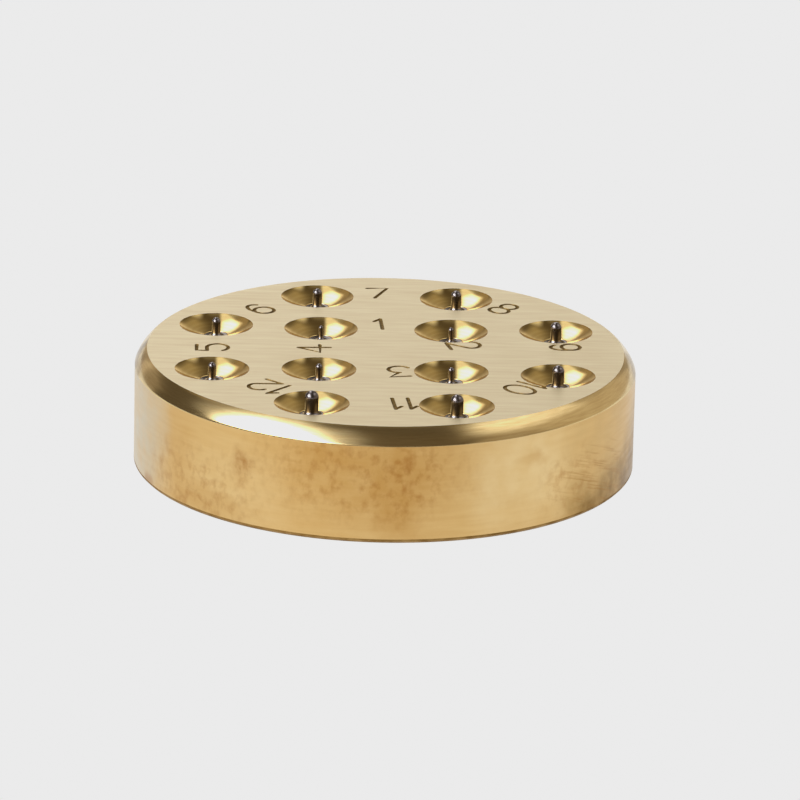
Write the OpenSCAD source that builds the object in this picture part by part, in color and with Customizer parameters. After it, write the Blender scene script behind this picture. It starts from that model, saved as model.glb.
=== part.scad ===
// Beading block. A turned brass disc carries twelve drilled recesses in its
// numbered face, four inside and eight outside. A hardened steel pin is
// pressed into the bore below each recess. The pin's top carries on the hollow
// of the recess, and a ball-ended nib stands up from its middle. The nibs grow
// evenly from number 1 to number 12, and a worn beading tool is pressed and
// turned on the nib of its own size to form its cup again.
// The origin is the middle of the underside, with +Z up through the numbered
// face. Lengths are in millimetres and angles in degrees.

/* [Block] */
// Diameter of the brass block
block_d = 54; // [52:0.5:60]
// Height of the block from its underside to its numbered face
block_h = 12.5; // [11.5:0.5:20]
// Height of the turned bevel round the top edge
bevel_h = 1.8; // [1.2:0.1:2.4]
// Width of the bevel, inwards from the side
bevel_w = 1.3; // [1:0.1:1.8]
// How far the middle of the bevel bulges from a straight chamfer
bevel_crown = 0.15; // [0.05:0.01:0.2]
// Size of the small chamfer that breaks the bottom edge
base_break = 0.25; // [0.1:0.05:0.6]

/* [Recesses] */
// Diameter of a recess where it opens in the numbered face
recess_d = 8; // [7:0.25:9]
// Depth of the round hollow of a recess in its middle, where the nib stands
recess_depth = 1.3; // [1:0.05:1.6]
// Diameter of the circle through the four inner recesses
inner_pcd = 20; // [18:0.5:22]
// Distance from the side of the block to the centres of the outer recesses
outer_inset = 7; // [6.5:0.25:8]

/* [Pins] */
// Diameter of the steel shanks and of the bores that they are pressed into
pin_d = 2.5; // [2.2:0.1:3]
// Length of a shank, from the edge of its dished top to its lower end
shank_l = 8; // [5:0.5:9]
// Chamfer round the lower end of a shank
shank_chamfer = 0.3; // [0.1:0.05:0.5]
// Included angle of the drill that leaves the pointed end of a bore
drill_angle = 118; // [110:1:130]

/* [Nibs] */
// Diameter of the nib of number 1, the smallest
nib_d_first = 0.5; // [0.4:0.05:0.7]
// Diameter of the nib of number 12, the largest
nib_d_last = 1.45; // [1.2:0.05:1.7]
// Height of the tip of nib 1 above the numbered face
nib_rise_first = 0.3; // [0:0.05:0.6]
// Height of the tip of nib 12 above the numbered face
nib_rise_last = 1.35; // [1:0.05:1.7]
// How much thinner a nib's stem is than its ball, on the radius
stem_relief = 0.01; // [0.005:0.005:0.05]
// Radius of the fillet where a stem grows out of its dished pin
root_fillet = 0.4; // [0.2:0.05:0.45]

/* [Hidden] */

$fn = 96;

// Recesses 1 to 4 are on the inner circle and 5 to 12 on the outer one. Both
// rings are numbered clockwise, seen from above.
inner_count = 4;
outer_count = 8;
nib_count = inner_count + outer_count;

// Direction of recess 1 and of recess 5 from the middle of the face
inner_first_angle = 135;
outer_first_angle = 202.5;

block_r = block_d / 2;
recess_r = recess_d / 2;
pin_r = pin_d / 2;

// Diameter of the circle through the eight outer recesses
outer_pcd = block_d - 2 * outer_inset;

// How far the drill's cutter runs on past the face that it opens, and how far
// a fillet's outline runs into the metal on both sides of it
cut_past = 0.5;
run_in = 0.004;

// A recess and the dished tops of its pin are hollows of one ball. Its radius
// follows from the width and the depth of the hollow.
bowl_r = (recess_r * recess_r + recess_depth * recess_depth) / (2 * recess_depth);
bowl_z = block_h - recess_depth + bowl_r;
function bowl_height(r) = bowl_z - sqrt(bowl_r * bowl_r - r * r);

// Heights in a recess: the bottom of its hollow, where the hollow meets the
// shank, and the shank's lower end
bowl_bottom_z = block_h - recess_depth;
seat_z = bowl_height(pin_r);
shank_end_z = seat_z - shank_l;

// The point of the drill leaves a bore's end that falls this steeply
point_slope = 90 - drill_angle / 2;
function point_drop(width) = width * tan(point_slope);

// The shank's chamfered end rests on the cone at the bottom of the bore, so
// the round part of the bore stops a little above the shank's end
bore_end_z = shank_end_z + point_drop(shank_chamfer);
bore_tip_z = bore_end_z - point_drop(pin_r);

// The bevel is an arc through the two edges that it joins. Its radius follows
// from the chord between them and from the bulge, and its centre lies inwards
// from the chord's middle, square to it.
bevel_chord = norm([bevel_w, bevel_h]);
bevel_r = bevel_chord * bevel_chord / (8 * bevel_crown) + bevel_crown / 2;
bevel_inwards = [-bevel_h, -bevel_w] / bevel_chord;
bevel_middle = [block_r - bevel_w / 2, block_h - bevel_h / 2];
bevel_centre = bevel_middle + (bevel_r - bevel_crown) * bevel_inwards;

function on_circle(pcd, angle) = pcd / 2 * [cos(angle), sin(angle)];

// Middle of recess n in the numbered face
function recess_place(n) = n <= inner_count
    ? on_circle(inner_pcd, inner_first_angle - (n - 1) * 360 / inner_count)
    : on_circle(outer_pcd, outer_first_angle - (n - 1 - inner_count) * 360 / outer_count);

// Each size grows in equal steps from nib 1 to nib 12
function graded(first, last, n) = first + (last - first) * (n - 1) / (nib_count - 1);
function nib_r(n) = graded(nib_d_first, nib_d_last, n) / 2;
function nib_tip_z(n) = block_h + graded(nib_rise_first, nib_rise_last, n);

// The fillet ends on the dish, inside the shank's edge
function fillet_r(n) = min(root_fillet, bowl_r * (pin_r - nib_r(n)) / (bowl_r + pin_r));

// Right half of the block's section, with the bevel still square
module blank_profile() {
    polygon([[0, 0],
             [block_r - base_break, 0],
             [block_r, base_break],
             [block_r, block_h],
             [0, block_h]]);
}

// What the bevel takes off the square corner
module bevel_waste() {
    difference() {
        translate([block_r - bevel_w, block_h - bevel_h])
            square([bevel_w + cut_past, bevel_h + cut_past]);
        translate(bevel_centre)
            circle(r = bevel_r, $fn = 360);
    }
}

// Right half of the ball that hollows out the recess and the shank's top
module bowl_profile() {
    intersection() {
        translate([0, bowl_z])
            circle(r = bowl_r, $fn = 360);
        translate([0, bowl_bottom_z - cut_past])
            square([bowl_r, recess_depth + 2 * cut_past]);
    }
}

// The cutter of one hole: the round hollow of the recess, the bore for the
// shank and the pointed end that the drill leaves
module stepped_drill() {
    rotate_extrude() {
        bowl_profile();
        polygon([[0, bore_tip_z],
                 [pin_r, bore_end_z],
                 [pin_r, block_h],
                 [0, block_h]]);
    }
}

module brass_block() {
    color("#c9a768")
        difference() {
            rotate_extrude($fn = 180)
                difference() {
                    blank_profile();
                    bevel_waste();
                }
            for (n = [1 : nib_count])
                translate(recess_place(n))
                    stepped_drill();
        }
}

// Right half of a shank's section, with its dished top and chamfered end
module shank_profile() {
    difference() {
        polygon([[0, shank_end_z],
                 [pin_r - shank_chamfer, shank_end_z],
                 [pin_r, shank_end_z + shank_chamfer],
                 [pin_r, block_h],
                 [0, block_h]]);
        bowl_profile();
    }
}

// Right half of the section of a nib: a straight stem with a ball on its end
module nib_profile(r, tip_z) {
    foot_z = bowl_bottom_z - pin_r;
    translate([0, foot_z])
        square([r - stem_relief, tip_z - r - foot_z]);
    intersection() {
        translate([0, tip_z - r])
            circle(r = r);
        translate([0, tip_z - 2 * r])
            square([2 * r, 3 * r]);
    }
}

// Right half of the section of the fillet at a stem's foot. Its arc bends
// round a centre that is one fillet radius from the stem and from the dish.
module root_profile(stem_r, fillet) {
    reach = fillet - run_in;
    span = stem_r + reach;
    centre = [span, bowl_z - sqrt(pow(bowl_r - reach, 2) - span * span)];
    outwards = [span, centre[1] - bowl_z] / (bowl_r - reach);
    heel = centre + (fillet + run_in) * outwards;
    foot_z = bowl_bottom_z - pin_r / 2;
    difference() {
        polygon([[0, foot_z], [heel[0], foot_z], heel, centre, [0, centre[1]]]);
        translate(centre)
            circle(r = fillet);
    }
}

module nib_pin(n) {
    color("#8f8b8c")
        translate(recess_place(n))
            rotate_extrude() {
                shank_profile();
                nib_profile(nib_r(n), nib_tip_z(n));
                root_profile(nib_r(n) - stem_relief, fillet_r(n));
            }
}

brass_block();
nib_pin(1);  // nib_pin_1
nib_pin(2);  // nib_pin_2
nib_pin(3);  // nib_pin_3
nib_pin(4);  // nib_pin_4
nib_pin(5);  // nib_pin_5
nib_pin(6);  // nib_pin_6
nib_pin(7);  // nib_pin_7
nib_pin(8);  // nib_pin_8
nib_pin(9);  // nib_pin_9
nib_pin(10);  // nib_pin_10
nib_pin(11);  // nib_pin_11
nib_pin(12);  // nib_pin_12
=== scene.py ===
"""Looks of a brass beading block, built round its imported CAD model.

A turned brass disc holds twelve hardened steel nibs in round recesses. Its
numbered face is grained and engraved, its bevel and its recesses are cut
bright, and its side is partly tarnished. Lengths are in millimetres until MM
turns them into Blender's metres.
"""

import logging
import math
from collections.abc import Iterable
from dataclasses import dataclass, field
from enum import Enum, IntEnum

import bmesh
import bpy
from mathutils import Matrix, Vector


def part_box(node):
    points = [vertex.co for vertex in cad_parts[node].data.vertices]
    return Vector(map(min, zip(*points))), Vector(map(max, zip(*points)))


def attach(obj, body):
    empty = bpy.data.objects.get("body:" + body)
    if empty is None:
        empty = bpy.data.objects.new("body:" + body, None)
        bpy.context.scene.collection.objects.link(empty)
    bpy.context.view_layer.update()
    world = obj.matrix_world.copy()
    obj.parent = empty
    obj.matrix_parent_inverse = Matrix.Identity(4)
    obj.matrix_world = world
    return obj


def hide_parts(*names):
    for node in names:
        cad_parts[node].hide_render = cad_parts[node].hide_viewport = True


LOG = logging.getLogger("beading_block")
MM = 0.001
NIB_COUNT = 12
# The UV layer that holds a point's distance from the axis of its recess or
# pin, and its height.
RINGS = "rings"
# Points closer than this are the same point.
SAME_POINT = 1e-6
# Blender keeps the master curve after those of red, green and blue.
MASTER_CURVE = 3

Point = tuple[float, float]
Triple = tuple[float, float, float]
Stroke = list[Point]
Tree = bpy.types.NodeTree
Socket = bpy.types.NodeSocket
Material = bpy.types.Material
Piece = bpy.types.Object
Mesh = bmesh.types.BMesh
Ring = list[bmesh.types.BMVert]

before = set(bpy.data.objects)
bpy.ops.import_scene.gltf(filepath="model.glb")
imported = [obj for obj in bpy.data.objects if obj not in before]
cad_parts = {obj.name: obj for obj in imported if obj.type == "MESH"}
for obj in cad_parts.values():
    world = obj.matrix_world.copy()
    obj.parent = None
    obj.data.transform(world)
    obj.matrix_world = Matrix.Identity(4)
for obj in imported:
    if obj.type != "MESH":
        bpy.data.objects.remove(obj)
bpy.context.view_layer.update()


def linear(hex_colour: str) -> tuple[float, float, float, float]:
    """Turns an sRGB hex colour into the linear colour that a shader takes.

    Args:
        hex_colour: six hex digits after a hash sign.

    Returns:
        Red, green, blue and a full alpha, from 0 to 1.
    """
    channels = [int(hex_colour[i : i + 2], 16) / 255 for i in (1, 3, 5)]
    # The sRGB curve is straight near black and a power above it.
    mixed = [
        c / 12.92 if c <= 0.04045 else ((c + 0.055) / 1.055) ** 2.4 for c in channels
    ]
    return (mixed[0], mixed[1], mixed[2], 1.0)


def lamplight(tint: str, radiance: float) -> Triple:
    """Gives the light of a lamp or a wall.

    Args:
        tint: its sRGB hex colour.
        radiance: how strong it would be in white.

    Returns:
        Linear red, green and blue.
    """
    red, green, blue, _ = linear(tint)
    return (red * radiance, green * radiance, blue * radiance)


def add_node(
    tree: Tree,
    kind: str,
    settings: dict[str, object] | None = None,
    inputs: dict[str | int, object] | None = None,
) -> bpy.types.Node:
    """Adds one node with its settings and its links.

    Args:
        tree: the node tree of a material or of the world.
        kind: Blender's type name of the node.
        settings: attributes of the node and their values.
        inputs: for an input socket, a plain value or the output that feeds it.

    Returns:
        The new node.
    """
    node = tree.nodes.new(kind)
    for name, value in (settings or {}).items():
        setattr(node, name, value)
    for socket, value in (inputs or {}).items():
        if isinstance(value, Socket):
            tree.links.new(value, node.inputs[socket])
        else:
            node.inputs[socket].default_value = value
    return node


def arc(
    centre: Point, radii: Point, start: float, end: float, step: float = 10.0
) -> Stroke:
    """Points along an upright ellipse.

    Args:
        centre: the middle of the ellipse.
        radii: half its width and half its height.
        start: the angle of the first point, in degrees.
        end: the angle of the last point, in degrees.
        step: about how many degrees lie between two points.

    Returns:
        The points from start to end, both included.
    """
    count = max(2, round(abs(end - start) / step))
    angles = [math.radians(start + (end - start) * i / count) for i in range(count + 1)]
    return [
        (centre[0] + radii[0] * math.cos(a), centre[1] + radii[1] * math.sin(a))
        for a in angles
    ]


class Finish(IntEnum):
    """The finishes of the block, in the order of its material slots."""

    GRAINED = 0
    BEVEL = 1
    SIDE = 2
    RECESS = 3
    ENGRAVED = 4
    UNDERSIDE = 5
    # The bottom edge, darkened as painted contact shadow.
    FOOT_SHADOW = 6


class SteelFinish(IntEnum):
    """The finishes of a pin, in the order of its material slots."""

    POLISHED = 0
    DARK = 1


@dataclass
class Outline:
    """A turned outline of points (radius, height), with a finish for each stretch.

    The first and the last point lie on the axis.
    """

    points: Stroke = field(default_factory=list)
    finishes: list[int] = field(default_factory=list)

    def add(self, points: Iterable[Point], finish: int = 0) -> None:
        """Runs on through more points.

        Args:
            points: the next points of the outline.
            finish: the material slot of the stretches that lead to them.
        """
        for point in points:
            if self.points:
                self.finishes.append(finish)
            self.points.append(point)

    def turn(self, mesh: Mesh, segments: int, centre: Point = (0.0, 0.0)) -> None:
        """Turns the outline round an upright axis into a closed skin.

        Args:
            mesh: the mesh that the skin is added to, in metres.
            segments: the number of steps in a full turn.
            centre: where the axis stands.
        """
        rings: list[Ring] = []
        turns = [2 * math.pi * i / segments for i in range(segments)]
        for radius, height in self.points:
            spots = turns if radius > 0 else turns[:1]
            rings.append([
                mesh.verts.new((
                    (centre[0] + radius * math.cos(a)) * MM,
                    (centre[1] + radius * math.sin(a)) * MM,
                    height * MM,
                ))
                for a in spots
            ])
        for lower, upper, finish in zip(rings, rings[1:], self.finishes):
            for i in range(segments):
                j = (i + 1) % segments
                steps = ((lower, i), (lower, j), (upper, j), (upper, i))
                # On the axis two corners are one, which leaves a triangle.
                corners = dict.fromkeys(ring[step % len(ring)] for ring, step in steps)
                face = mesh.faces.new(list(corners))
                face.material_index = finish
                face.smooth = True


def write_rings(
    face: bmesh.types.BMFace, layer: bmesh.types.BMLayerItem, axis: Vector
) -> None:
    """Writes where a face lies round an axis, for the rings of the tool marks.

    Args:
        face: the face, in metres.
        layer: the UV layer for the distance and the height, in millimetres.
        axis: where the axis stands, in millimetres.
    """
    for loop in face.loops:
        spot = loop.vert.co
        loop[layer].uv = ((spot.xy / MM - axis).length, spot.z / MM)


def object_from(mesh: Mesh, name: str, materials: Iterable[Material]) -> Piece:
    """Makes an object of a finished bmesh and frees the bmesh.

    Args:
        mesh: the closed skin.
        name: the name of the piece.
        materials: its material slots in order.

    Returns:
        The object, linked into the scene.
    """
    bmesh.ops.recalc_face_normals(mesh, faces=mesh.faces)
    data = bpy.data.meshes.new(name)
    mesh.to_mesh(data)
    mesh.free()
    for material in materials:
        data.materials.append(material)
    piece = bpy.data.objects.new(name, data)
    bpy.context.scene.collection.objects.link(piece)
    return piece


def carve(piece: Piece, cutter: Piece) -> None:
    """Cuts one piece's shape out of another and removes the cutter.

    Args:
        piece: the object that is cut.
        cutter: a closed skin, with the same material slots as the piece.
    """
    cut = piece.modifiers.new("cut", "BOOLEAN")
    cut.operation = "DIFFERENCE"
    cut.solver = "EXACT"
    cut.object = cutter
    bpy.context.view_layer.update()
    evaluated = piece.evaluated_get(bpy.context.evaluated_depsgraph_get())
    result = bpy.data.meshes.new_from_object(evaluated)
    piece.modifiers.clear()
    old = piece.data
    piece.data = result
    result.name = piece.name
    bpy.data.meshes.remove(old)
    bpy.data.objects.remove(cutter)


@dataclass
class BlockSizes:
    """Sizes of the brass block, as in the CAD model.

    A soft corner leads from the side into the bevel: from corner_drop below it,
    through corner_middle, measured inwards and down from the sharp corner, to
    corner_turn degrees up the bevel's curve, drawn in steps of bevel_step.
    """

    bevel_height: float = 1.8
    bevel_width: float = 1.3
    bevel_crown: float = 0.15
    bevel_step: float = 1.5
    corner_drop: float = 0.12
    corner_middle: Point = (0.004, 0.03)
    corner_turn: float = 1.2
    base_break: float = 0.25
    foot_band: float = 0.2
    radius: float = field(init=False)
    height: float = field(init=False)

    def __post_init__(self) -> None:
        """Takes the overall size from the CAD node."""
        low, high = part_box("brass_block")
        self.radius = (high.x - low.x) / 2 / MM
        self.height = high.z / MM


@dataclass
class RecessShape:
    """The hollow of one recess and the steel pin's dished top in it."""

    face: float
    mouth_radius: float = 4.0
    depth: float = 1.3
    seam_break: float = 0.04
    shank_chamfer: float = 0.3
    point_angle: float = 118.0

    @property
    def ball_radius(self) -> float:
        """Radius of the ball that the hollow is a part of."""
        return (self.mouth_radius**2 + self.depth**2) / (2 * self.depth)

    @property
    def ball_height(self) -> float:
        """Height of that ball's centre."""
        return self.face - self.depth + self.ball_radius

    def floor(self, radius: float) -> float:
        """Height of the hollow at a distance from its axis."""
        return self.ball_height - math.sqrt(self.ball_radius**2 - radius**2)

    def hollow(self, inner: float, outer: float, steps: int) -> Stroke:
        """Points of the hollow between two distances from its axis.

        Args:
            inner: distance of the first point.
            outer: distance of the last point.
            steps: number of stretches between them.

        Returns:
            The points, as (radius, height).
        """
        radii = [inner + (outer - inner) * i / steps for i in range(steps + 1)]
        return [(r, self.floor(r)) for r in radii]


@dataclass
class Drilling:
    """One recess with its bore, as the cutter that takes it out of the block."""

    shape: RecessShape
    centre: Point
    pin_radius: float
    shank_end: float
    past_face: float = 0.5
    hollow_steps: int = 24

    def cutter(self) -> Outline:
        """Draws the cutter.

        Returns:
            Its outline, from the bore's point up to above the face.
        """
        shape = self.shape
        point_drop = math.tan(math.radians(90 - shape.point_angle / 2))
        bore_end = self.shank_end + shape.shank_chamfer * point_drop
        bore_top = shape.floor(self.pin_radius) - shape.seam_break
        lip = self.pin_radius + shape.seam_break
        past = (shape.mouth_radius + self.past_face, shape.face + self.past_face)
        outline = Outline()
        outline.add([(0.0, bore_end - self.pin_radius * point_drop)])
        bore = [(self.pin_radius, bore_end), (self.pin_radius, bore_top)]
        outline.add(bore, Finish.RECESS)
        hollow = shape.hollow(lip, shape.mouth_radius, self.hollow_steps)
        outline.add(hollow, Finish.RECESS)
        outline.add([past, (0.0, past[1])], Finish.RECESS)
        return outline


# The strokes of each numeral, a first one and perhaps a second, in millimetres
# to the right of its middle and above it.
NUMERALS: dict[str, tuple[Stroke, ...]] = {
    "0": (arc((0, 0), (1.2, 1.8), 0, 360),),
    "1": ([(0.05, 1.8), (0.1, -1.8)], [(0.05, 1.75), (-0.65, 0.9)]),
    "2": (
        arc((0.05, 0.8), (1.1, 1.0), 170, -30) + [(-1.1, -1.65)],
        [(-1.1, -1.65), (1.15, -1.65)],
    ),
    "3": (
        [(-0.9, 1.7), (1.3, 1.7), (0.05, 0.35)],
        arc((-0.12, -0.7), (1.15, 1.05), 85, -158),
    ),
    "4": ([(0.35, 1.8), (0.5, -1.6)], [(0.35, 1.8), (-1.25, -0.55), (1.35, -0.5)]),
    "5": (
        [(0.85, 1.75), (-1.05, 1.75), (-1.1, 0.62)],
        [(-1.1, 0.62)] + arc((0.0, -0.5), (1.2, 1.15), 90, -150),
    ),
    "6": (
        arc((0.1, -0.05), (1.1, 1.75), 50, 180),
        arc((0.1, -0.6), (1.1, 1.08), 0, 360),
    ),
    "7": ([(-1.1, 1.65), (1.1, 1.7), (-0.4, -1.8)],),
    "8": (
        arc((0, 0.9), (0.95, 0.85), 0, 360),
        arc((0, -0.85), (1.15, 0.95), 0, 360),
    ),
    "9": (
        arc((0, 0.6), (1.05, 1.0), 0, 360),
        arc((0, 0.1), (1.05, 1.68), 17, -135),
    ),
}


@dataclass
class Label:
    """A number engraved in the face, read with its head away from the middle."""

    text: str
    x: float
    y: float
    spacing: float = 2.15

    def strokes(self, order: int) -> list[Stroke]:
        """One stroke of each of its numerals, in its place on the face.

        Args:
            order: 0 for the first stroke of a numeral, 1 for the second.

        Returns:
            The strokes, which don't cross each other.
        """
        outwards = Vector((self.x, self.y)).normalized()
        across = Vector((outwards.y, -outwards.x))
        placed = []
        for i, numeral in enumerate(self.text):
            shift = (i - (len(self.text) - 1) / 2) * self.spacing
            for stroke in NUMERALS[numeral][order : order + 1]:
                placed.append([
                    (
                        self.x + across.x * (u + shift) + outwards.x * v,
                        self.y + across.y * (u + shift) + outwards.y * v,
                    )
                    for u, v in stroke
                ])
        return placed


# Each number, and where its middle lies on the face.
LABELS: tuple[Label, ...] = (
    Label("1", -0.6, 9.05),
    Label("2", 8.4, 2.2),
    Label("3", 1.5, -7.3),
    Label("4", -7.6, -0.1),
    Label("5", -18.6, -0.4),
    Label("6", -13.9, 13.4),
    Label("7", -1.0, 20.2),
    Label("8", 12.9, 15.5),
    Label("9", 19.4, 2.3),
    Label("10", 15.0, -11.7),
    Label("11", 1.9, -18.1, 1.65),
    Label("12", -12.0, -13.6),
)


@dataclass
class Engraver:
    """A round-nosed engraving cutter, and the numbers that it cuts in the face.

    The ends of a stroke are rounded by rings at cap_leans, in degrees round
    the nose.
    """

    face: float
    line_width: float = 0.44
    line_depth: float = 0.15
    sides: int = 12
    cap_leans: Triple = (30, 60, 80)
    labels: tuple[Label, ...] = LABELS

    @property
    def nose(self) -> float:
        """Radius of the cutter's nose."""
        half_width = self.line_width / 2
        return (half_width**2 + self.line_depth**2) / (2 * self.line_depth)

    def ring(self, mesh: Mesh, spot: Vector, along: Vector, scale: float) -> Ring:
        """One ring of the cutter's sweep.

        Args:
            mesh: the mesh that the ring is added to.
            spot: the middle of the ring, in millimetres.
            along: the direction of the stroke.
            scale: size of the ring against the nose.

        Returns:
            The ring's vertices.
        """
        side = Vector((along.y, -along.x, 0.0))
        up = Vector((0.0, 0.0, 1.0))
        turns = [2 * math.pi * (i + 0.5) / self.sides for i in range(self.sides)]
        reach = self.nose * scale
        offsets = [side * math.cos(a) + up * math.sin(a) for a in turns]
        return [mesh.verts.new((spot + reach * offset) * MM) for offset in offsets]

    def sweep(self, mesh: Mesh, stroke: Stroke) -> None:
        """Runs the round nose along one stroke.

        Args:
            mesh: the mesh that the sweep is added to.
            stroke: the points of the stroke on the face.
        """
        height = self.face + self.nose - self.line_depth
        path = [Vector((x, y, height)) for x, y in stroke]
        closed = (path[0] - path[-1]).length < SAME_POINT
        if closed:
            path.pop()
        count = len(path)
        rings = []
        for i, spot in enumerate(path):
            before = path[(i - 1) % count] if closed or i > 0 else spot
            after = path[(i + 1) % count] if closed or i < count - 1 else spot
            rings.append(self.ring(mesh, spot, (after - before).normalized(), 1.0))
        if closed:
            rings.append(rings[0])
        else:
            for sign, end, inner in ((-1, 0, path[1]), (1, -1, path[-2])):
                along = (path[end] - inner).normalized() * sign
                for lean in map(math.radians, self.cap_leans):
                    spot = path[end] + along * (sign * self.nose * math.sin(lean))
                    cap = self.ring(mesh, spot, along, math.cos(lean))
                    rings.insert(0 if sign < 0 else len(rings), cap)
        for one, two in zip(rings, rings[1:]):
            for i in range(self.sides):
                j = (i + 1) % self.sides
                mesh.faces.new((one[i], one[j], two[j], two[i]))
        if not closed:
            mesh.faces.new(rings[0])
            mesh.faces.new(rings[-1])

    def cutter(self, order: int) -> Mesh:
        """The sweeps of one pass over all numbers.

        Args:
            order: 0 for the pass of first strokes, 1 for that of second strokes.

        Returns:
            Closed skins that don't cross each other.
        """
        mesh = bmesh.new()
        for label in self.labels:
            for stroke in label.strokes(order):
                self.sweep(mesh, stroke)
        for face in mesh.faces:
            face.material_index = Finish.ENGRAVED
            face.smooth = True
        return mesh


@dataclass
class BrassBlock:
    """The turned and numbered brass block.

    Faces that meet at more than sharp_angle degrees keep a sharp edge.
    """

    sizes: BlockSizes
    drillings: list[Drilling]
    engraver: Engraver
    materials: list[Material]
    segments: int = 720
    drill_segments: int = 120
    sharp_angle: float = 24.0

    def outline(self) -> Outline:
        """Draws the block before it is drilled.

        Returns:
            Its outline, from the middle of the underside to that of the face.
        """
        sizes = self.sizes
        chord = math.hypot(sizes.bevel_width, sizes.bevel_height)
        radius = chord**2 / (8 * sizes.bevel_crown) + sizes.bevel_crown / 2
        reach = (radius - sizes.bevel_crown) / chord
        centre = (
            sizes.radius - sizes.bevel_width / 2 - sizes.bevel_height * reach,
            sizes.height - sizes.bevel_height / 2 - sizes.bevel_width * reach,
        )
        side_top = sizes.height - sizes.bevel_height
        low = math.degrees(math.asin((side_top - centre[1]) / radius))
        high = math.degrees(math.asin((sizes.height - centre[1]) / radius))
        start = low + sizes.corner_turn
        inwards, down = sizes.corner_middle
        outline = Outline()
        outline.add([(0.0, 0.0)])
        outline.add([(sizes.radius - sizes.base_break, 0.0)], Finish.UNDERSIDE)
        # The broken bottom edge and a band above it take a dark finish: painted contact
        # shadow.
        foot_top = sizes.base_break + sizes.foot_band
        foot = [(sizes.radius, sizes.base_break), (sizes.radius, foot_top)]
        outline.add(foot, Finish.FOOT_SHADOW)
        outline.add([(sizes.radius, side_top - sizes.corner_drop)], Finish.SIDE)
        outline.add([(sizes.radius - inwards, side_top - down)], Finish.SIDE)
        bevel = arc(centre, (radius, radius), start, high, sizes.bevel_step)
        outline.add(bevel, Finish.BEVEL)
        outline.add([(0.0, sizes.height)], Finish.GRAINED)
        return outline

    def build(self) -> None:
        """Turns, drills and engraves the block, which replaces its CAD node."""
        skin = bmesh.new()
        self.outline().turn(skin, self.segments)
        block = object_from(skin, "turned_block", self.materials)
        drills = bmesh.new()
        for drilling in self.drillings:
            drilling.cutter().turn(drills, self.drill_segments, drilling.centre)
        carve(block, object_from(drills, "drills", self.materials))
        for order in (0, 1):
            strokes = self.engraver.cutter(order)
            carve(block, object_from(strokes, f"strokes_{order}", self.materials))
        self.shade(block)
        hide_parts("brass_block")
        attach(block, "root")
        LOG.info("%s: %d faces", block.name, len(block.data.polygons))

    def shade(self, block: Piece) -> None:
        """Shades the block smooth, with sharp edges where two cuts meet.

        Args:
            block: the carved block.
        """
        data = block.data
        data.shade_smooth()
        data.set_sharp_from_angle(angle=math.radians(self.sharp_angle))
        mesh = bmesh.new()
        mesh.from_mesh(data)
        layer = mesh.loops.layers.uv.new(RINGS)
        axes = [Vector(drilling.centre) for drilling in self.drillings]
        for face in mesh.faces:
            if face.material_index == Finish.RECESS:
                middle = face.calc_center_median().xy / MM
                axis = min(axes, key=lambda near: (middle - near).length)
                write_rings(face, layer, axis)
        for edge in mesh.edges:
            flat = [face.material_index == Finish.GRAINED for face in edge.link_faces]
            if any(flat) and not all(flat):
                edge.smooth = False
        mesh.to_mesh(data)
        mesh.free()


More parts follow.
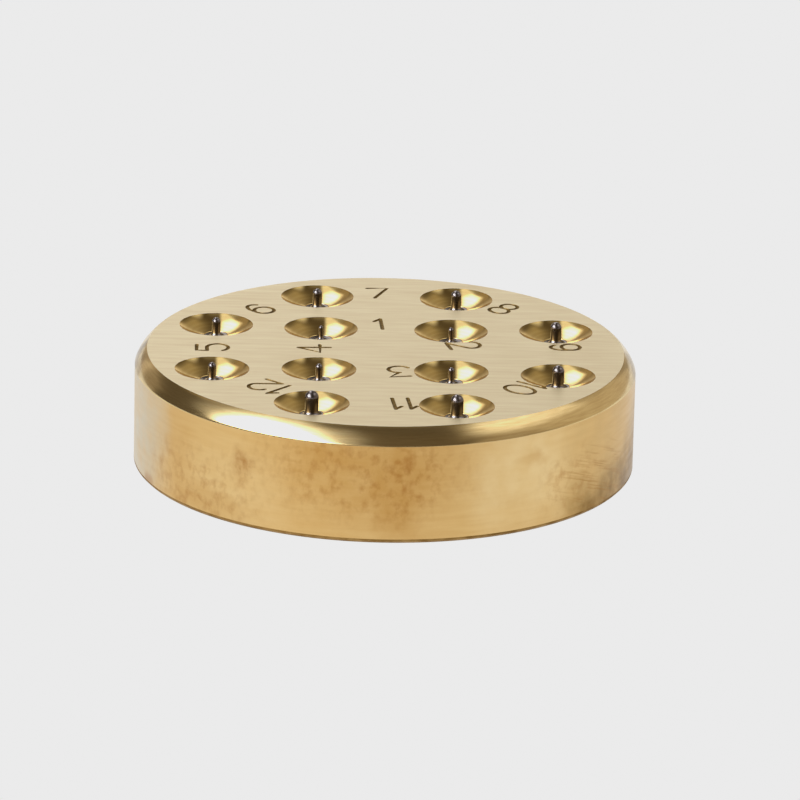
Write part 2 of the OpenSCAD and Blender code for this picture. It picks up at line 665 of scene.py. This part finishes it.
@dataclass
class NibPin:
    """One hardened steel pin: its shank, its dished top and its nib.

    The stem has rings at the parts of its height that stem_rings names. Faces
    that meet at more than sharp_angle degrees keep a sharp edge.
    """

    number: int
    shape: RecessShape
    materials: list[Material]
    nib_diameters: Point = (0.5, 1.45)
    stem_relief: float = 0.01
    stem_rings: Triple = (0.3, 0.6, 0.97)
    root_fillet: float = 0.4
    dish_steps: int = 8
    fillet_step: float = 7.0
    ball_step: float = 5.0
    segments: int = 120
    sharp_angle: float = 35.0

    @property
    def node(self) -> str:
        """Name of its CAD node."""
        return f"nib_pin_{self.number}"

    @property
    def centre(self) -> Point:
        """Where its axis stands."""
        low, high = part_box(self.node)
        return ((low.x + high.x) / 2 / MM, (low.y + high.y) / 2 / MM)

    @property
    def radius(self) -> float:
        """Radius of its shank."""
        low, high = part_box(self.node)
        return (high.x - low.x) / 2 / MM

    @property
    def nib_radius(self) -> float:
        """Radius of the ball on its nib, which grows in even steps with its number."""
        first, last = self.nib_diameters
        return (first + (last - first) * (self.number - 1) / (NIB_COUNT - 1)) / 2

    def outline(self) -> Outline:
        """Draws the pin.

        Returns:
            Its outline, from the lower end of the shank to the tip.
        """
        low, high = (corner.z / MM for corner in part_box(self.node))
        shape = self.shape
        dish = shape.ball_radius
        ball = self.nib_radius
        stem = ball - self.stem_relief
        widest = dish * (self.radius - ball) / (dish + self.radius)
        fillet = min(self.root_fillet, widest)
        span = stem + fillet
        root_height = shape.ball_height - math.sqrt((dish - fillet) ** 2 - span**2)
        lean = math.degrees(math.asin(span / (dish - fillet)))
        touch = span * dish / (dish - fillet)
        neck = math.degrees(math.acos(stem / ball))
        ball_height = high - ball
        rise = ball_height - root_height
        middle = (span, root_height)
        root = arc(middle, (fillet, fillet), lean - 90, -180, self.fillet_step)
        tip = arc((0, ball_height), (ball, ball), -neck, 90, self.ball_step)
        outline = Outline()
        outline.add([
            (0.0, low),
            (self.radius - shape.shank_chamfer, low),
            (self.radius, low + shape.shank_chamfer),
            (self.radius, shape.floor(self.radius) - shape.seam_break),
        ])
        rim = self.radius - shape.seam_break
        outline.add(shape.hollow(rim, touch, self.dish_steps))
        outline.add(root[1:])
        shaft = [(stem, root_height + rise * part) for part in self.stem_rings]
        outline.add(shaft, SteelFinish.DARK)
        outline.add(tip[:-1])
        outline.add([(0.0, high)])
        return outline

    def build(self) -> None:
        """Turns the pin, which replaces its CAD node."""
        skin = bmesh.new()
        self.outline().turn(skin, self.segments, self.centre)
        layer = skin.loops.layers.uv.new(RINGS)
        axis = Vector(self.centre)
        for face in skin.faces:
            write_rings(face, layer, axis)
        pin = object_from(skin, f"steel_nib_{self.number}", self.materials)
        pin.data.set_sharp_from_angle(angle=math.radians(self.sharp_angle))
        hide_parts(self.node)
        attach(pin, "root")
        LOG.info("%s: nib of %.2f mm", pin.name, 2 * self.nib_radius)


class Place(Enum):
    """What the marks of a finish follow."""

    BLOCK = "the block's own length, width and height"
    TURNED = "rings round the block's axis"
    DRILLED = "rings round the axis of the recess or pin"


class Pattern(Enum):
    """How a colour patch is broken up."""

    CLOUDS = "soft clouds"
    SPECKS = "small specks"
    SCRATCHES = "thin slanting scratches"


@dataclass(frozen=True)
class Marks:
    """Tool marks or clouds: soft noise, stretched to sizes in millimetres.

    Noise below low leaves the marks at their least, and above high they are
    full. The turn, in degrees, slants them.
    """

    pitch: Triple
    low: float = 0.38
    high: float = 0.62
    detail: float = 3.0
    least: float = 0.0
    turn: Triple = (0.0, 0.0, 0.0)

    def noise(self, tree: Tree, place: Socket) -> bpy.types.Node:
        """Draws the noise alone.

        Args:
            tree: the material's node tree.
            place: the place on the piece, in millimetres.

        Returns:
            The noise, as a single value or as three in its colour.
        """
        turn = tuple(math.radians(angle) for angle in self.turn)
        scaled = add_node(
            tree, "ShaderNodeMapping", {"vector_type": "TEXTURE"},
            {"Vector": place, "Rotation": turn, "Scale": self.pitch},
        )
        return add_node(
            tree, "ShaderNodeTexNoise", {},
            {"Vector": scaled.outputs[0], "Scale": 1.0, "Detail": self.detail},
        )

    def draw(self, tree: Tree, place: Socket) -> Socket:
        """Draws the marks.

        Args:
            tree: the material's node tree.
            place: the place on the piece, in millimetres.

        Returns:
            How strong the marks are there, from 0 to 1.
        """
        return add_node(
            tree, "ShaderNodeMapRange", {},
            {
                "Value": self.noise(tree, place).outputs["Fac"],
                "From Min": self.low,
                "From Max": self.high,
                "To Min": self.least,
            },
        ).outputs[0]


@dataclass(frozen=True)
class ColourPatch:
    """A coloured patch on the side or the bevel.

    Some are oxide, paler metal and a darker brown; others are painted shade and
    painted reflection. The angle runs to the right from the front, in degrees.
    The patch is at its full strength out to full_at of its half sizes, and gone
    at gone_at.
    """

    angle: float
    height: float
    half_width: float
    half_height: float
    strength: float
    colour: str
    pattern: Pattern = Pattern.CLOUDS
    full_at: float = 0.3
    gone_at: float = 1.2
    block_radius: float = 27.0

    def lay(self, tree: Tree, place: Socket, break_up: Socket, under: Socket) -> Socket:
        """Lays the patch over a colour.

        Args:
            tree: the material's node tree.
            place: the place on the block, in millimetres.
            break_up: how dense the patch is there, from 0 to 1.
            under: the colour below.

        Returns:
            The colour with the patch on it.
        """
        turn = math.radians(self.angle)
        centre = (
            self.block_radius * math.sin(turn),
            -self.block_radius * math.cos(turn),
            self.height,
        )
        size = (self.half_width, self.half_width, self.half_height)
        local = add_node(
            tree, "ShaderNodeMapping", {"vector_type": "TEXTURE"},
            {"Vector": place, "Location": centre, "Scale": size},
        )
        reach = add_node(
            tree, "ShaderNodeVectorMath", {"operation": "LENGTH"}, {0: local.outputs[0]}
        )
        amount = add_node(
            tree, "ShaderNodeMapRange", {"interpolation_type": "SMOOTHSTEP"},
            {
                "Value": reach.outputs["Value"],
                "From Min": self.gone_at,
                "From Max": self.full_at,
                "To Max": self.strength,
            },
        )
        dense = add_node(
            tree, "ShaderNodeMath", {"operation": "MULTIPLY"},
            {0: amount.outputs[0], 1: break_up},
        )
        return add_node(
            tree, "ShaderNodeMix", {"data_type": "RGBA"},
            {"Factor": dense.outputs[0], "A": under, "B": linear(self.colour)},
        ).outputs["Result"]


@dataclass(frozen=True)
class MetalFinish:
    """A metal surface, with the marks of the tool that cut it and its colour patches.

    Its two colours and two roughnesses are those between the marks and on them.
    The waves of outlines move the edges of its colour patches by up to half of wander.
    """

    name: str
    colours: tuple[str, str]
    roughness: Point
    marks: Marks
    mark_depth: float
    place: Place = Place.BLOCK
    # Oxide, paler metal and a darker brown; on the bevel and the side also painted
    # shade and painted reflection.
    colour_patches: tuple[ColourPatch, ...] = ()
    clouds: Marks = Marks((2.0, 2.0, 2.0), 0.3, 0.66, 6.0, 0.55)
    specks: Marks = Marks((0.8, 0.8, 1.0), 0.46, 0.8, 7.0)
    scratches: Marks = Marks((5.0, 5.0, 0.25), 0.52, 0.7, 2.0, turn=(0.0, 20.0, 60.0))
    outlines: Marks = Marks((4.0, 4.0, 4.0), detail=4.0)
    wander: float = 5.0

    def make(self) -> Material:
        """Builds the material.

        Returns:
            The material. Its colour, roughness and bump vary with the marks.
        """
        material = bpy.data.materials.new(self.name)
        material.use_nodes = True
        tree = material.node_tree
        shader = tree.nodes["Principled BSDF"]
        shader.inputs["Metallic"].default_value = 1.0
        place = self.locate(tree)
        marks = self.marks.draw(tree, place)
        metal, marked = (linear(colour) for colour in self.colours)
        colour = add_node(
            tree, "ShaderNodeMix", {"data_type": "RGBA"},
            {"Factor": marks, "A": metal, "B": marked},
        ).outputs["Result"]
        if self.colour_patches:
            colour = self.lay_colour_patches(tree, place, colour)
        smoother, rougher = self.roughness
        rough = add_node(
            tree, "ShaderNodeMapRange", {},
            {"Value": marks, "To Min": smoother, "To Max": rougher},
        )
        bump = add_node(
            tree, "ShaderNodeBump", {},
            {"Height": marks, "Distance": self.mark_depth * MM, "Strength": 1.0},
        )
        tree.links.new(colour, shader.inputs["Base Color"])
        tree.links.new(rough.outputs[0], shader.inputs["Roughness"])
        tree.links.new(bump.outputs["Normal"], shader.inputs["Normal"])
        return material

    def locate(self, tree: Tree) -> Socket:
        """Finds the place on the piece that the marks follow.

        Args:
            tree: the material's node tree.

        Returns:
            The place, in millimetres.
        """
        if self.place is Place.DRILLED:
            return add_node(tree, "ShaderNodeUVMap", {"uv_map": RINGS}).outputs[0]
        metres = add_node(tree, "ShaderNodeTexCoord").outputs["Object"]
        here = add_node(
            tree, "ShaderNodeMapping", {"vector_type": "TEXTURE"},
            {"Vector": metres, "Scale": (MM, MM, MM)},
        ).outputs[0]
        if self.place is Place.BLOCK:
            return here
        flat = add_node(
            tree, "ShaderNodeVectorMath", {"operation": "MULTIPLY"},
            {0: here, 1: (1.0, 1.0, 0.0)},
        )
        radius = add_node(
            tree, "ShaderNodeVectorMath", {"operation": "LENGTH"}, {0: flat.outputs[0]}
        )
        return add_node(
            tree, "ShaderNodeCombineXYZ", {}, {"X": radius.outputs["Value"]}
        ).outputs[0]

    def lay_colour_patches(self, tree: Tree, place: Socket, colour: Socket) -> Socket:
        """Lays the colour patches, with ragged outlines, over the clean metal.

        Args:
            tree: the material's node tree.
            place: the place on the block, in millimetres.
            colour: the colour of the clean metal.

        Returns:
            The colour with its patches on it.
        """
        waves = self.outlines.noise(tree, place).outputs["Color"]
        # Half is the middle of the noise, so the waves go both ways.
        centred = add_node(
            tree, "ShaderNodeVectorMath", {"operation": "SUBTRACT"},
            {0: waves, 1: (0.5, 0.5, 0.5)},
        )
        reach = (self.wander, self.wander, self.wander)
        ragged = add_node(
            tree, "ShaderNodeVectorMath", {"operation": "MULTIPLY_ADD"},
            {0: centred.outputs[0], 1: reach, 2: place},
        ).outputs[0]
        patterns = {
            Pattern.CLOUDS: self.clouds.draw(tree, place),
            Pattern.SPECKS: self.specks.draw(tree, place),
            Pattern.SCRATCHES: self.scratches.draw(tree, place),
        }
        for colour_patch in self.colour_patches:
            colour = colour_patch.lay(tree, ragged, patterns[colour_patch.pattern], colour)
        return colour


ORANGE = "#c8954c"
BROWN = "#a8762f"
# A darker brown: low at the right of the side, and painted shade at the ends of the
# bevel.
DARK_BROWN = "#775412"
SPECK = "#aa6e2c"
# Painted reflection: the pale grey of the side near its far left and right.
PAINTED_PALE_REFLECTION = "#d9cbae"
RUBBED = "#f4d8a0"
DULL = "#cfae74"

# Angle, height, half width, half height and strength, then the colour.
SIDE_COLOUR_PATCHES: tuple[ColourPatch, ...] = (
    # Painted reflection that turns the far left and right of the side pale, then
    # metal rubbed bright or dulled.
    ColourPatch(-82, 6, 11, 16, 1.0, PAINTED_PALE_REFLECTION),
    ColourPatch(-65, 8, 4, 9, 0.4, PAINTED_PALE_REFLECTION),
    ColourPatch(88, 10, 7, 6, 0.4, PAINTED_PALE_REFLECTION),
    ColourPatch(34, 7, 9, 8, 0.8, RUBBED),
    ColourPatch(-35, 4, 8, 6, 0.35, RUBBED),
    ColourPatch(62, 7, 9, 8, 0.5, DULL),
    # Orange tarnish of the front.
    ColourPatch(-3, 9.5, 13, 10, 0.6, ORANGE),
    ColourPatch(4, 6.5, 2.8, 9, 0.5, ORANGE),
    ColourPatch(-13, 9.5, 5, 2.5, 0.4, ORANGE),
    ColourPatch(-33, 6.9, 1.9, 1.7, 0.35, SPECK),
    ColourPatch(-32.5, 6.7, 1.7, 1.6, 0.9, SPECK, Pattern.SPECKS),
    ColourPatch(-54, 7, 4.0, 6, 0.25, ORANGE),
    ColourPatch(-43, 2.0, 7, 2.0, 0.4, ORANGE),
    ColourPatch(-67, 1.2, 1.6, 1.4, 0.6, SPECK),
    ColourPatch(36, 7.8, 2.4, 1.2, 0.4, ORANGE),
    # Darker brown towards the bottom at the right, and scratches.
    ColourPatch(66, -1.5, 12, 7.0, 0.9, DARK_BROWN),
    ColourPatch(84, 1.0, 7, 8.0, 0.6, DARK_BROWN),
    ColourPatch(58, 3.5, 8, 4.5, 0.5, BROWN, Pattern.SCRATCHES),
    # Specks over the clouds of the front.
    ColourPatch(-5, 8, 13, 7, 0.6, SPECK, Pattern.SPECKS),
    ColourPatch(4, 7, 4, 6, 0.4, SPECK, Pattern.SPECKS),
    ColourPatch(-47, 3, 10, 5, 0.55, SPECK, Pattern.SPECKS),
    ColourPatch(48, 4.5, 6, 4, 0.45, SPECK, Pattern.SPECKS),
    # Clouds and specks of the back.
    ColourPatch(130, 6, 12, 7, 0.6, ORANGE),
    ColourPatch(-135, 5, 10, 6, 0.6, ORANGE),
    ColourPatch(178, 3, 16, 4, 0.5, ORANGE),
    ColourPatch(150, 5, 20, 6, 0.6, SPECK, Pattern.SPECKS),
    ColourPatch(-120, 4, 12, 5, 0.6, SPECK, Pattern.SPECKS),
)

# Painted shade: a darker brown at the bevel's outermost left and right.
BEVEL_PAINTED_SHADE: tuple[ColourPatch, ...] = (
    ColourPatch(-88, 11.0, 5, 1.6, 0.9, DARK_BROWN),
    ColourPatch(88, 11.0, 5, 1.6, 0.7, DARK_BROWN),
)


BRASS: dict[Finish, MetalFinish] = {
    # Brass drawn over abrasive paper: a pale, silky face with fine straight
    # lines from left to right. The real grit leaves lines every 0.05 mm,
    # which are drawn 0.7 mm apart so that they show.
    Finish.GRAINED: MetalFinish(
        name="grained_brass",
        colours=("#eaddb7", "#decca5"),
        roughness=(0.3, 0.36),
        marks=Marks((6.0, 0.7, 4.0), 0.25, 0.75, 6.0),
        mark_depth=0.002,
    ),
    # Brass cut bright on the lathe: a glossy bevel whose feed lines, drawn
    # 0.2 mm apart instead of 0.1, smear the reflections across it. Painted
    # shade darkens its outermost ends.
    Finish.BEVEL: MetalFinish(
        name="bright_turned_brass",
        colours=("#f2daa2", "#dabe86"),
        roughness=(0.12, 0.19),
        marks=Marks((2.5, 2.5, 0.2), 0.25, 0.75, 4.0),
        mark_depth=0.001,
        colour_patches=BEVEL_PAINTED_SHADE,
    ),
    # The same brass, handled: satin, with turning lines drawn 0.5 mm apart
    # instead of 0.1. It has orange tarnish in clouds and specks, paler metal
    # where hands have rubbed it, a painted reflection that turns its far left and
    # right pale, and a darker brown and scratches low at the right.
    Finish.SIDE: MetalFinish(
        name="tarnished_turned_brass",
        colours=("#e8c281", "#e2ba78"),
        roughness=(0.28, 0.36),
        marks=Marks((5.0, 5.0, 0.5), 0.3, 0.7, 3.0),
        mark_depth=0.003,
        colour_patches=SIDE_COLOUR_PATCHES,
    ),
    # The broken bottom edge and the band above it, darkened in patches of 1.5 mm
    # as painted contact shadow: a dark, dull line.
    Finish.FOOT_SHADOW: MetalFinish(
        name="painted_shadow_brass_edge",
        colours=("#a98650", "#86642f"),
        roughness=(0.4, 0.55),
        marks=Marks((1.5, 1.5, 0.6), 0.35, 0.65),
        mark_depth=0.004,
    ),
    # Brass cut by a ball-ended drill: a deep mirror with faint rings, drawn
    # 0.3 mm apart instead of 0.05.
    Finish.RECESS: MetalFinish(
        name="drilled_bright_brass",
        colours=("#ecd08e", "#e0c17e"),
        roughness=(0.07, 0.12),
        marks=Marks((0.3, 4.0, 1.0), 0.3, 0.7, 2.0),
        mark_depth=0.001,
        place=Place.DRILLED,
    ),
    # Brass left dark by old polish and oil: matt lines that read as ink.
    Finish.ENGRAVED: MetalFinish(
        name="engraved_dirty_brass",
        colours=("#8a7346", "#6f5a34"),
        roughness=(0.62, 0.75),
        marks=Marks((0.5, 0.5, 0.5)),
        mark_depth=0.01,
    ),
    # Brass faced on the lathe: rings round its middle, drawn 0.5 mm apart
    # instead of 0.1, over a satin gold.
    Finish.UNDERSIDE: MetalFinish(
        name="faced_brass",
        colours=("#dcbd80", "#cba968"),
        roughness=(0.3, 0.4),
        marks=Marks((0.5, 1.0, 1.0), 0.3, 0.7, 2.0),
        mark_depth=0.004,
        place=Place.TURNED,
    ),
}

STEEL: dict[SteelFinish, MetalFinish] = {
    # Tool steel, hardened and polished: dark and glossy, with small hard
    # highlights. Its fine lapping rings are drawn 0.2 mm apart.
    SteelFinish.POLISHED: MetalFinish(
        name="polished_hardened_steel",
        colours=("#8b8587", "#787173"),
        roughness=(0.17, 0.24),
        marks=Marks((0.2, 3.0, 1.0)),
        mark_depth=0.0004,
        place=Place.DRILLED,
    ),
    # The same steel, darker between the dish and the ball: a dull brown-black
    # that takes little gold from the recess round it.
    SteelFinish.DARK: MetalFinish(
        name="dark_hardened_steel",
        colours=("#6a6057", "#574e46"),
        roughness=(0.26, 0.36),
        marks=Marks((0.3, 2.0, 0.3)),
        mark_depth=0.0008,
        place=Place.DRILLED,
    ),
}


@dataclass(frozen=True)
class Edge:
    """A soft straight edge on the studio's ceiling plane.

    The ceiling is the plane one unit above the block. The lit side is where
    right * x + back * y is more than start, and the light fades in over
    softness on both sides of the edge.
    """

    right: float
    back: float
    start: float
    softness: float


@dataclass(frozen=True)
class Softbox:
    """A soft lamp or a pale wall, between its edges."""

    name: str
    radiance: float
    edges: tuple[Edge, ...]
    tint: str = "#ffffff"

    def shine(self, tree: Tree, ceiling: Socket) -> Socket:
        """Builds the light that it sends from each direction.

        Args:
            tree: the world's node tree.
            ceiling: where the direction meets the ceiling plane.

        Returns:
            The light as a colour.
        """
        light: object = lamplight(self.tint, self.radiance)
        for edge in self.edges:
            depth = add_node(
                tree, "ShaderNodeVectorMath", {"operation": "DOT_PRODUCT"},
                {0: ceiling, 1: (edge.right, edge.back, 0.0)},
            )
            fade = add_node(
                tree, "ShaderNodeMapRange", {"interpolation_type": "SMOOTHSTEP"},
                {
                    "Value": depth.outputs["Value"],
                    "From Min": edge.start - edge.softness,
                    "From Max": edge.start + edge.softness,
                },
            )
            light = add_node(
                tree, "ShaderNodeVectorMath", {"operation": "SCALE"},
                {0: light, "Scale": fade.outputs[0]},
            ).outputs[0]
        return light


# Name, radiance, edges (right, back, start, softness) and tint.
SOFTBOXES: tuple[Softbox, ...] = (
    # The dim room in front.
    Softbox("front_room", 0.03, (
        Edge(0, -1, 0.7, 0.5), Edge(1, 0, -1.0, 0.5),
    ), "#ffe0bc"),
    # The large lamp at the left with its bright middle, and the weaker light
    # in front of it and beside it.
    Softbox("left_panel", 5.0, (
        Edge(-1, 0.2, 0.54, 0.3), Edge(0.1, -1, 0.05, 0.45), Edge(1, 0, -3.4, 1.2),
        Edge(0, 1, -5.0, 1.5),
    )),
    Softbox("left_core", 6.0, (
        Edge(-1, 0.2, 0.72, 0.15), Edge(0.1, -1, 0.1, 0.2), Edge(1, 0, -3.0, 0.8),
        Edge(0, 1, -1.8, 0.6),
    )),
    Softbox("left_fringe", 0.32, (
        Edge(-1, 0, 0.36, 0.08), Edge(0, -1, -0.44, 0.2), Edge(1, 0, -2.2, 0.8),
    )),
    Softbox("left_glow", 0.3, (
        Edge(-1, 0, 0.2, 0.1), Edge(0, -1, 0.35, 0.2), Edge(0, 1, -1.5, 0.5),
        Edge(1, 0, -1.0, 0.3),
    )),
    # The narrow lamp behind at the left, with its bright middle.
    Softbox("back_strip", 1.1, (
        Edge(-1, 0, 0.11, 0.05), Edge(1, 0.45, -0.265, 0.06),
        Edge(1, -0.22, -0.95, 0.16), Edge(0, 1, 0.0, 0.1), Edge(0, -1, -2.5, 0.6),
    )),
    Softbox("strip_core", 2.3, (
        Edge(-1, 0, 0.17, 0.07), Edge(1, 0.45, -0.2, 0.07), Edge(0, 1, 0.42, 0.14),
        Edge(0, -1, -1.4, 0.4), Edge(1, -0.22, -0.78, 0.11),
    )),
    # Pale light at the left, behind and low down.
    Softbox("back_left", 0.3, (
        Edge(-1, 0, 0.3, 0.1), Edge(1, 0, -1.05, 0.1), Edge(0, 1, 0.5, 0.2),
        Edge(0, -1, -1.9, 0.6),
    ), "#ffe8c8"),
    Softbox("left_low", 0.26, (
        Edge(-1, 0, 0.3, 0.1), Edge(0.75, 1, 0.0, 0.8), Edge(0, 1, 2.0, 0.8),
    ), "#ffeed6"),
    Softbox("left_horizon", 0.32, (
        Edge(-1, -0.5, 0.2, 0.3), Edge(1.33, 1, 0.2, 0.6), Edge(0, 1, 2.0, 0.6),
    ), "#fff2e0"),
    # A weak light from nearly straight above.
    Softbox("overhead", 0.16, (
        Edge(0, -1, -0.1, 0.12), Edge(0, 1, -0.14, 0.06), Edge(1, 0, -0.28, 0.1),
        Edge(-1, 0, -0.22, 0.08),
    )),
    # The lamp at the right, the wall that it lights, and the room round them.
    Softbox("right_panel", 1.05, (
        Edge(1, 0, 0.39, 0.1), Edge(1, 0.55, 0.38, 0.1), Edge(-1, 0, -1.3, 0.6),
        Edge(0, 1, -0.6, 0.5), Edge(0.5, -1, -0.12, 0.2),
    )),
    Softbox("right_wall", 0.3, (
        Edge(1, 0, 0.4, 0.1), Edge(1, 0.75, 0.42, 0.3), Edge(1, -0.45, 0.55, 0.15),
    ), "#fff0d8"),
    Softbox("right_front", 0.16, (
        Edge(1, 0.54, 0.26, 0.04), Edge(0, -1, 0.05, 0.1), Edge(-1, 0, -1.0, 0.5),
    ), "#fff0d8"),
    Softbox("right_far", 0.25, (
        Edge(1, 0, 1.3, 0.6), Edge(0, 1, -0.6, 0.6),
    ), "#fff0d8"),
    # The walls behind.
    Softbox("back_right", 0.35, (
        Edge(1, 0, 0.27, 0.25), Edge(-1, 0.25, -0.5, 0.15), Edge(0, 1, 0.5, 0.3),
    ), "#fff0cc"),
    Softbox("back_wall", 1.36, (
        Edge(0, 1, 2.85, 0.8), Edge(1, 0.12, 0.0, 0.3), Edge(-1, 0.12, 0.0, 0.3),
    )),
    Softbox("back_low", 0.2, (
        Edge(0, 1, 2.6, 0.9), Edge(1, 0.4, 0.0, 0.8), Edge(-1, 0.4, 0.0, 0.8),
    ), "#fff0d8"),
)


@dataclass
class Studio:
    """The light, the floor and the camera of the photograph.

    Angles are in degrees, and what ends in px is in pixels of a square picture.
    Directions that rise less than horizon count as rising that much, because
    the ceiling plane has no end there.
    """

    face: float
    floor_radiance: float = 1.0
    floor_half: float = 3000.0
    floor_drop: float = 0.02
    room_radiance: float = 0.12
    room_tint: str = "#ffe8c8"
    softboxes: tuple[Softbox, ...] = SOFTBOXES
    horizon: float = 0.02
    elevation: float = 18.098
    distance: float = 759.5
    focal_px: float = 7047.4
    roll: float = 1.263
    picture_px: float = 800.0
    face_centre_px: Point = (385.6, 349.9)
    sensor: float = 36.0
    nearest: float = 10.0
    farthest: float = 20000.0
    white_level: float = 0.83

    def sky(self) -> None:
        """Hangs the softboxes as a world of light."""
        world = bpy.data.worlds.new("studio_light")
        bpy.context.scene.world = world
        world.use_nodes = True
        tree = world.node_tree
        tree.nodes.clear()
        towards = add_node(tree, "ShaderNodeTexCoord").outputs["Generated"]
        height = add_node(tree, "ShaderNodeSeparateXYZ", {}, {0: towards}).outputs["Z"]
        rise = add_node(
            tree, "ShaderNodeMath", {"operation": "MAXIMUM"},
            {0: height, 1: self.horizon},
        )
        ceiling = add_node(
            tree, "ShaderNodeVectorMath", {"operation": "DIVIDE"},
            {0: towards, 1: rise.outputs[0]},
        ).outputs[0]
        total: object = lamplight(self.room_tint, self.room_radiance)
        for box in self.softboxes:
            light = box.shine(tree, ceiling)
            total = add_node(
                tree, "ShaderNodeVectorMath", {"operation": "ADD"}, {0: light, 1: total}
            ).outputs[0]
            LOG.info("light: %s", box.name)
        # The camera sees plain white, and not the lamps.
        seen = add_node(tree, "ShaderNodeLightPath").outputs["Is Camera Ray"]
        light = add_node(tree, "ShaderNodeBackground", {}, {"Color": total})
        white = (1.0, 1.0, 1.0, 1.0)
        backdrop = add_node(tree, "ShaderNodeBackground", {}, {"Color": white})
        shown = add_node(
            tree, "ShaderNodeMixShader", {},
            {0: seen, 1: light.outputs[0], 2: backdrop.outputs[0]},
        )
        add_node(tree, "ShaderNodeOutputWorld", {}, {"Surface": shown.outputs[0]})

    def floor(self) -> None:
        """Lays the pale floor, a lit table that leaves no shadow."""
        skin = bmesh.new()
        half = self.floor_half * MM
        height = -self.floor_drop * MM
        corners = [
            skin.verts.new((x * half, y * half, height))
            for x, y in ((-1, -1), (1, -1), (1, 1), (-1, 1))
        ]
        skin.faces.new(corners)
        # A table top lit evenly from below: pure white, with no shading.
        material = bpy.data.materials.new("lit_table")
        material.use_nodes = True
        tree = material.node_tree
        tree.nodes.clear()
        glow = add_node(
            tree, "ShaderNodeEmission", {}, {"Strength": self.floor_radiance}
        )
        add_node(tree, "ShaderNodeOutputMaterial", {}, {"Surface": glow.outputs[0]})
        table = object_from(skin, "studio_floor", [material])

    def camera(self) -> None:
        """Sets up the camera of the photograph."""
        data = bpy.data.cameras.new("photo_camera")
        data.sensor_width = self.sensor
        data.lens = self.focal_px / self.picture_px * data.sensor_width
        data.clip_start = self.nearest * MM
        data.clip_end = self.farthest * MM
        lift = math.radians(self.elevation)
        face_centre = Vector((0.0, 0.0, self.face * MM))
        away = Vector((0.0, -math.cos(lift), math.sin(lift)))
        place = face_centre + away * self.distance * MM
        right = Vector((1.0, 0.0, 0.0))
        level_up = away.cross(right)
        turn = Matrix.Rotation(math.radians(self.roll), 3, away)
        right = turn @ right
        up = turn @ level_up
        # The aim sets the face's middle off the middle of the picture.
        offset = [c - self.picture_px / 2 for c in self.face_centre_px]
        shift = up * offset[1] - right * offset[0]
        aim = face_centre + shift * self.distance * MM / self.focal_px
        away = (place - aim).normalized()
        right = up.cross(away).normalized()
        up = away.cross(right)
        camera = bpy.data.objects.new("photo_camera", data)
        camera.matrix_world = Matrix((right, up, away)).transposed().to_4x4()
        camera.location = place
        bpy.context.scene.collection.objects.link(camera)
        bpy.context.scene.camera = camera

    def print_tone(self) -> None:
        """Prints full white as the photograph's pale grey."""
        view = bpy.context.scene.view_settings
        view.view_transform = "Standard"
        view.use_curve_mapping = True
        curves = view.curve_mapping
        curves.extend = "HORIZONTAL"
        black, white = curves.curves[MASTER_CURVE].points
        black.location = (0.0, 0.0)
        white.location = (1.0, self.white_level)
        curves.update()


def main() -> None:
    """Builds the studio, the block and its pins."""
    logging.basicConfig(level=logging.INFO, format="%(name)s %(message)s")
    sizes = BlockSizes()
    shape = RecessShape(face=sizes.height)
    steel = [STEEL[finish].make() for finish in SteelFinish]
    studio = Studio(face=sizes.height)
    studio.camera()
    studio.sky()
    studio.floor()
    studio.print_tone()
    pins = [NibPin(number, shape, steel) for number in range(1, NIB_COUNT + 1)]
    drillings = [
        Drilling(shape, pin.centre, pin.radius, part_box(pin.node)[0].z / MM)
        for pin in pins
    ]
    brass = [BRASS[finish].make() for finish in Finish]
    BrassBlock(sizes, drillings, Engraver(sizes.height), brass).build()
    for pin in pins:
        pin.build()


if __name__ == "__main__":
    main()
